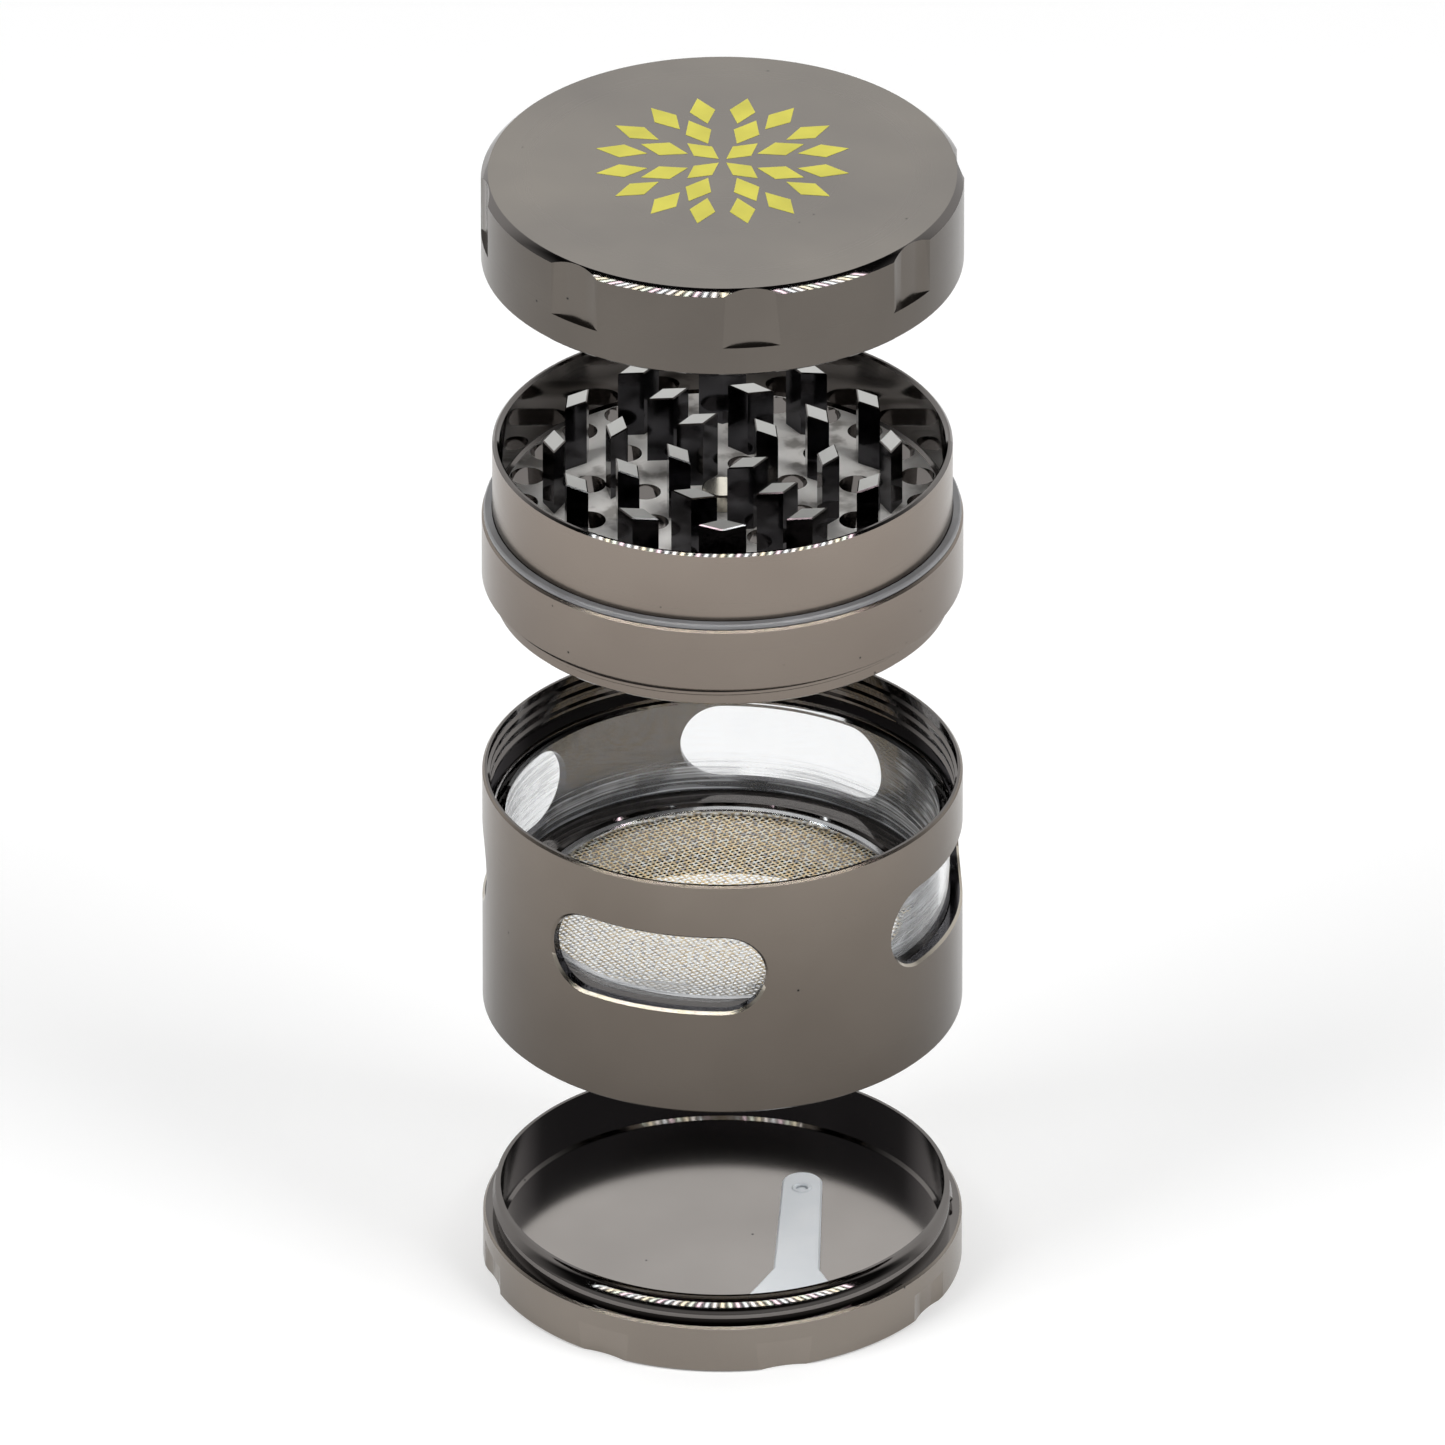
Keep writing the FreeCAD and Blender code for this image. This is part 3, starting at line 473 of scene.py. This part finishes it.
def chamber_finish(spot, normal):
    outward = outwardness(spot, normal)
    if outward < -STRAIGHT and BORE_R[0] < reach(spot) < BORE_R[1]:
        return bore_satin
    at_window = chamber_low.z + WINDOW_ABOVE_FOOT < spot.z < chamber_high.z - WINDOW_BELOW_RIM
    in_window = at_window and WINDOW_INNER_R < reach(spot) < OUTER_R
    # Painted highlight: the window's up-facing bevel gets the light copy.
    if in_window and ASKEW < outward < 0.95 and normal.z > 0.25:
        return lip_painted_highlight
    # Painted shade: the window's side walls get the near-black copy.
    if in_window and abs(outward) < ASKEW:
        return wall_painted_shade
    return chamber_satin if outward > ASKEW and reach(spot) > OUTER_R - EDGE_BAND else polished


TOOTH_HEIGHT = 9.3
TOOTH_TOPS_R = 28.0
TOOTH_SIDES_R = 27.0
MILL_SPIGOT = 3.2
MILL_COLLAR_R = 29.95


def mill_finish(spot, normal):
    plate_top = mill_high.z - TOOTH_HEIGHT
    outward = outwardness(spot, normal)
    if normal.z > FACING and spot.z > mill_high.z - LEVEL and reach(spot) < TOOTH_TOPS_R:
        return lapped
    if normal.z > FACING and abs(spot.z - plate_top) < LEVEL:
        return plate_metal
    on_spigot = outward > FACING and spot.z < mill_low.z + MILL_SPIGOT
    on_collar = outward > STRAIGHT and reach(spot) > MILL_COLLAR_R
    on_ring = outward > ASKEW and reach(spot) > OUTER_R - EDGE_BAND
    if on_spigot or on_collar or on_ring:
        return mill_satin
    # Painted shade: the upright sides of the teeth get the near-black copy.
    if abs(normal.z) < 0.1 and reach(spot) < TOOTH_SIDES_R and spot.z > plate_top + LEVEL:
        return tooth_sides_painted_shade
    return polished


LID_SIDE_R = 30.4
LID_CHAMFER = 0.9
LID_CROWN = (41, 49)


def lid_finish(spot, normal):
    on_side = reach(spot) > LID_SIDE_R
    below_chamfer = spot.z < lid_high.z - LID_CHAMFER + LEVEL
    upright = on_side and abs(normal.z) < 0.05
    # The top face gets the painted lighter copy of the plating.
    if normal.z > FACING and spot.z > lid_high.z - LEVEL:
        return lid_top_painted_light
    # Painted light: scoop walls are lighter than the side.
    if upright and reach(spot) < OUTER_R - SCOOP_SUNK:
        return lid_scoop_painted_light
    outside = on_side and below_chamfer and outwardness(spot, normal) > 0.8
    return lid_satin if outside or upright else polished


def lid_crown(spot, normal):
    """The polished chamfer is slightly crowned."""
    on_chamfer = 0.5 < normal.z < 0.9 and outwardness(spot, normal) >= 0.5
    if not on_chamfer or spot.z < lid_high.z - LID_CHAMFER - 0.1:
        return None
    return rolled(spot.z, (lid_high.z - LID_CHAMFER, LID_CROWN[0]), (lid_high.z, LID_CROWN[1]))


tray_finishes = [tray_satin, polished, tray_floor_satin, wall_painted_shade, tray_scoop_painted_light]
welded("tray", "tray_metal", "tray", tray_finishes, tray_finish,
       soft_edge=on_tray_thread, crown=tray_crown, slices=TRAY_SLICES)
chamber_finishes = [chamber_satin, polished, bore_satin, wall_painted_shade, lip_painted_highlight]
welded("chamber_shell", "chamber_metal", "chamber", chamber_finishes, chamber_finish)
mill_finishes = [mill_satin, polished, lapped, plate_metal, tooth_sides_painted_shade]
welded("mill_body", "mill_metal", "mill", mill_finishes, mill_finish)
lid_finishes = [lid_satin, polished, lid_top_painted_light, lid_scoop_painted_light]
lid_metal = welded("lid_body", "lid_metal", "lid", lid_finishes, lid_finish, crown=lid_crown)
welded("window_sleeve", "sleeve_clear", "chamber", [acrylic])
welded("snap_ring", "snap_ring_steel", "screen", [spring_metal])
welded("mill_magnet", "mill_magnet_nickel", "mill_post", [magnet_metal])
welded("lid_magnet", "lid_magnet_nickel", "lid_post", [magnet_metal])
welded("glide_ring", "glide_ring_nylon", "mill", [glide_plastic])
welded("scraper", "scraper_plastic", "scraper", [scraper_plastic])


# New pieces
def new_piece(form, name, finish, body, smooth=True):
    """Makes a form that is drawn in millimetres a piece that rides on a body."""
    bmesh.ops.scale(form, vec=(MM, MM, MM), verts=form.verts)
    for face in form.faces:
        face.smooth = smooth
    mesh = bpy.data.meshes.new(name)
    form.to_mesh(mesh)
    form.free()
    mesh.materials.append(finish)
    piece = put_in_scene(name, mesh)
    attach(piece, body)
    return piece


def grown_verts(grown):
    """The vertices that an extrusion has made."""
    return [item for item in grown["geom"] if isinstance(item, bmesh.types.BMVert)]


FILM_R = 28.45
FILM_MARGIN = 0.2


def scuff_film():
    """The scuffed skin on the inside of the clear sleeve."""
    low, high = box_mm("window_sleeve")
    form = bmesh.new()
    ring = bmesh.ops.create_circle(form, segments=160, radius=FILM_R)
    bmesh.ops.translate(form, vec=(0, 0, low.z + FILM_MARGIN), verts=ring["verts"])
    grown = bmesh.ops.extrude_edge_only(form, edges=form.edges[:])
    rise = high.z - low.z - 2 * FILM_MARGIN
    bmesh.ops.translate(form, vec=(0, 0, rise), verts=grown_verts(grown))
    bmesh.ops.recalc_face_normals(form, faces=form.faces)
    bmesh.ops.reverse_faces(form, faces=form.faces)
    new_piece(form, "scuff_film", scuffed, "chamber")


HOLE_X = 10.44
HOLE_Y = 9.0
HOLE_LIP_R = 1.05
HOLE_LIP_THICK = 0.3
HOLE_LIP_SUNK = 0.1
DIMPLE_R = 0.93
DIMPLE_FLATTENED = 0.5
DIMPLE_SUNK = 0.5


def scraper_ring():
    """The raised lip round the scraper's hole, and the thin dimpled web that is left in it."""
    form = bmesh.new()
    lip = bmesh.ops.create_circle(form, segments=12, radius=HOLE_LIP_THICK)
    upright = Matrix.Rotation(math.pi / 2, 3, "X")
    bmesh.ops.rotate(form, cent=(0, 0, 0), matrix=upright, verts=lip["verts"])
    bmesh.ops.translate(form, vec=(HOLE_LIP_R, 0, 0), verts=lip["verts"])
    bmesh.ops.spin(form, geom=form.edges[:], cent=(0, 0, 0), axis=(0, 0, 1), angle=2 * math.pi, steps=36,
                   use_merge=True)
    bmesh.ops.remove_doubles(form, verts=form.verts, dist=0.001)
    bmesh.ops.recalc_face_normals(form, faces=form.faces)
    dimple = bmesh.ops.create_uvsphere(form, u_segments=24, v_segments=10, radius=DIMPLE_R)
    bmesh.ops.scale(form, vec=(1, 1, DIMPLE_FLATTENED), verts=dimple["verts"])
    bmesh.ops.translate(form, vec=(0, 0, -DIMPLE_SUNK), verts=dimple["verts"])
    scraper_top = box_mm("scraper")[1].z
    bmesh.ops.translate(form, vec=(HOLE_X, HOLE_Y, scraper_top - HOLE_LIP_SUNK), verts=form.verts)
    new_piece(form, "scraper_ring", scraper_plastic, "scraper")


PRINT_THICK = 0.02
PRINT_BEHIND = 3.0
# Rows of lozenges: how many, how far out, half their width and half their length
PRINT_ROWS = ((4, 3.6, 1.7, 2.9), (8, 8.2, 1.8, 3.3), (16, 13.4, 1.7, 3.4))


def sink_lid_top():
    """Lowers the lid's top a little, so that the print stays inside the lid's own height."""
    for vert in lid_metal.data.vertices:
        if vert.co.z > (lid_high.z - 0.01) * MM:
            vert.co.z -= 1.5 * PRINT_THICK * MM


def lid_print():
    """A rosette of lozenges, set a little behind the middle of the lid."""
    form = bmesh.new()
    for count, row_r, across, along in PRINT_ROWS:
        for number in range(count):
            turn = Matrix.Rotation(2 * math.pi * (number + 0.5) / count, 4, "Z")
            place = turn @ Matrix.Translation((0, row_r, 0)) @ Matrix.Diagonal((across, along, 1, 1))
            bmesh.ops.create_circle(form, cap_ends=True, segments=4, radius=1, matrix=place)
    grown = bmesh.ops.extrude_face_region(form, geom=form.faces[:])
    bmesh.ops.translate(form, vec=(0, 0, PRINT_THICK), verts=grown_verts(grown))
    bmesh.ops.translate(form, vec=(0, PRINT_BEHIND, lid_high.z - PRINT_THICK), verts=form.verts)
    bmesh.ops.recalc_face_normals(form, faces=form.faces)
    new_piece(form, "lid_print", print_yellow, "lid", smooth=False)


WIRE_PITCH = 0.7
WIRE_R = 0.06
WIRE_HALF_WIDTH = 0.14
WIRE_SIDES = 6
WIRE_STEPS = 4
WEAVE_TURN = math.radians(32)
SCREEN_MARGIN = 0.05


def woven(name, turn, first_up):
    """Parallel wires that wave over and under the wires across them, cut to the screen's round."""
    form = bmesh.new()
    screen_low, screen_high = box_mm("screen_mesh")
    radius = screen_high.x - SCREEN_MARGIN
    middle = (screen_low.z + screen_high.z) / 2
    lift = (screen_high.z - screen_low.z) / 2 - WIRE_R
    rows = int(radius / WIRE_PITCH)
    for row in range(-rows, rows + 1):
        offset = row * WIRE_PITCH
        crossings = int(math.sqrt(radius ** 2 - offset ** 2) / WIRE_PITCH)
        if crossings == 0:
            continue
        side = 1 if (row % 2 == 0) == first_up else -1
        stretch = Matrix.Diagonal((crossings * WIRE_PITCH, math.pi, 1, 1))
        strip = bmesh.ops.create_grid(form, x_segments=WIRE_STEPS * crossings, y_segments=WIRE_SIDES, size=1,
                                      matrix=stretch)
        for vert in strip["verts"]:
            along, angle = vert.co.x, vert.co.y
            wave = math.cos(math.pi * along / WIRE_PITCH) * side
            vert.co.y = offset + WIRE_HALF_WIDTH * math.sin(angle)
            vert.co.z = middle + lift * wave + WIRE_R * math.cos(angle)
    bmesh.ops.remove_doubles(form, verts=form.verts, dist=WIRE_R / 10)
    bmesh.ops.recalc_face_normals(form, faces=form.faces)
    bmesh.ops.rotate(form, cent=(0, 0, 0), matrix=Matrix.Rotation(turn, 3, "Z"), verts=form.verts)
    piece = new_piece(form, name, wire_metal, "screen")
    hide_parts("screen_mesh")


scuff_film()
scraper_ring()
sink_lid_top()
lid_print()
woven("screen_warp", WEAVE_TURN, True)
woven("screen_weft", WEAVE_TURN + math.pi / 2, False)

# Studio, in metres
FLOOR_HALF = 30
FLOOR_DROP = 0.05 * MM
# The floor's glow is faint up to the first distance and full from the second.
GLOW_DISTANCES = (0.4, 2.2)
FLOOR_GLOW = 0.25
CEILING = 0.015
WALLS = 0.45
SOFT_BOX = 0.7
SOFT_BOX_POWER = 10.5
ARCH_LAMPS_A_SIDE = 17
ARCH_STEP = math.radians(1.95)
ARCH_LAMP_HALF = (0.0085, 0.075)
ARCH_POWER = 14.0
ARCH_TINTS = ((1.0, 0.95, 0.75), (0.88, 1.0, 0.9), (1.0, 0.82, 0.95), (0.85, 0.94, 1.0), (1.0, 1.0, 1.0))
WHITE = (1, 1, 1, 1)


def studio_floor():
    """A wide white floor, which shows as white to the camera and to reflections and still takes shadow."""
    mesh = bpy.data.meshes.new("floor")
    form = bmesh.new()
    bmesh.ops.create_grid(form, x_segments=1, y_segments=1, size=FLOOR_HALF)
    form.to_mesh(mesh)
    form.free()
    floor = put_in_scene("floor", mesh)
    floor.location.z = -FLOOR_DROP
    material, tree, output = blank_material("white_floor")
    path = tree.nodes.new("ShaderNodeLightPath")
    seen = math_node(tree, "MAXIMUM", path.outputs["Is Camera Ray"], path.outputs["Is Glossy Ray"])
    seen = math_node(tree, "MAXIMUM", seen, path.outputs["Is Transmission Ray"])
    away = node(tree, "ShaderNodeVectorMath", {0: object_place(tree)}, operation="LENGTH").outputs["Value"]
    level = math_node(tree, "MULTIPLY", seen, spread(tree, away, *GLOW_DISTANCES, FLOOR_GLOW))
    white = node(tree, "ShaderNodeBsdfDiffuse", {"Color": (0.8, 0.8, 0.8, 1)})
    glow = node(tree, "ShaderNodeEmission", {"Color": WHITE, "Strength": level})
    both = node(tree, "ShaderNodeAddShader", {0: white.outputs[0], 1: glow.outputs[0]})
    tree.links.new(both.outputs[0], output.inputs["Surface"])
    mesh.materials.append(material)


def studio_world():
    """A white backdrop behind the object, a grey room round its front and a dark ceiling."""
    world = bpy.data.worlds.new("studio")
    bpy.context.scene.world = world
    world.use_nodes = True
    tree = world.node_tree
    tree.nodes.clear()
    direction = node(tree, "ShaderNodeTexCoord").outputs["Generated"]
    split = node(tree, "ShaderNodeSeparateXYZ", {0: direction})
    soft = {"interpolation_type": "SMOOTHSTEP"}
    backdrop = spread(tree, split.outputs[1], 0.12, 0.55, CEILING, 1.0, **soft)
    walls = spread(tree, split.outputs[2], 0.42, 0.68, WALLS, CEILING, **soft)
    path = tree.nodes.new("ShaderNodeLightPath")
    room = math_node(tree, "MAXIMUM", backdrop, walls)
    level = math_node(tree, "MAXIMUM", room, path.outputs["Is Camera Ray"])
    back = node(tree, "ShaderNodeBackground", {"Color": WHITE, "Strength": level})
    output = tree.nodes.new("ShaderNodeOutputWorld")
    tree.links.new(back.outputs[0], output.inputs["Surface"])


def soft_lamp(name, place):
    """A square soft box that points at the middle of the stack."""
    light = bpy.data.lights.new(name, "AREA")
    light.size = SOFT_BOX
    light.energy = SOFT_BOX_POWER
    lamp = put_in_scene(name, light)
    lamp.location = place
    lamp.rotation_mode = "QUATERNION"
    lamp.rotation_quaternion = (LOOK_AT - Vector(place)).to_track_quat("-Z", "Y")
    lamp.visible_camera = False
    lamp.visible_glossy = False
    lamp.visible_transmission = False


def arch_lamp(name, colour):
    material, tree, output = blank_material(name)
    glow = node(tree, "ShaderNodeEmission", {"Color": (*colour, 1), "Strength": ARCH_POWER})
    tree.links.new(glow.outputs[0], output.inputs["Surface"])
    return material


def light_arch():
    """An arch of small lamps over the front, which shows as rows of dots in the polished bevels."""
    form = bmesh.new()
    for step in range(-ARCH_LAMPS_A_SIDE, ARCH_LAMPS_A_SIDE + 1):
        turn = ARCH_STEP * step
        bevel = Vector((math.sin(turn), -math.cos(turn), 1)).normalized()
        ray = 2 * bevel.dot(TO_CAMERA) * bevel - TO_CAMERA
        facing = (-ray).to_track_quat("Z", "Y").to_matrix().to_4x4()
        place = Matrix.Translation(LOOK_AT + ray) @ facing @ Matrix.Diagonal((*ARCH_LAMP_HALF, 1, 1))
        made = bmesh.ops.create_grid(form, x_segments=1, y_segments=1, size=1, matrix=place)
        for face in made["verts"][0].link_faces:
            face.material_index = step % len(ARCH_TINTS)
    mesh = bpy.data.meshes.new("light_arch")
    form.to_mesh(mesh)
    form.free()
    for number, colour in enumerate(ARCH_TINTS):
        mesh.materials.append(arch_lamp(f"arch_lamp_{number}", colour))
    arch = put_in_scene("light_arch", mesh)
    arch.visible_camera = False
    arch.visible_shadow = False
    arch.visible_diffuse = False
    arch.visible_transmission = False


def photograph_camera():
    camera = bpy.data.cameras.new("camera")
    frame_width = PHOTO_SIDE / PHOTO_PIXELS_PER_MM * MM
    camera.sensor_width = 36
    camera.lens = camera.sensor_width * VIEW_DISTANCE / frame_width
    camera.clip_start = 0.1
    camera.clip_end = 100
    holder = put_in_scene("camera", camera)
    holder.location = LOOK_AT + TO_CAMERA * VIEW_DISTANCE
    holder.rotation_mode = "QUATERNION"
    holder.rotation_quaternion = (-TO_CAMERA).to_track_quat("-Z", "Y")
    bpy.context.scene.camera = holder


studio_floor()
studio_world()
soft_lamp("left_box", (-0.8, -0.5, 1.0))
soft_lamp("right_box", (0.8, -0.5, 1.0))
light_arch()
photograph_camera()
bpy.context.scene.view_settings.view_transform = "Standard"
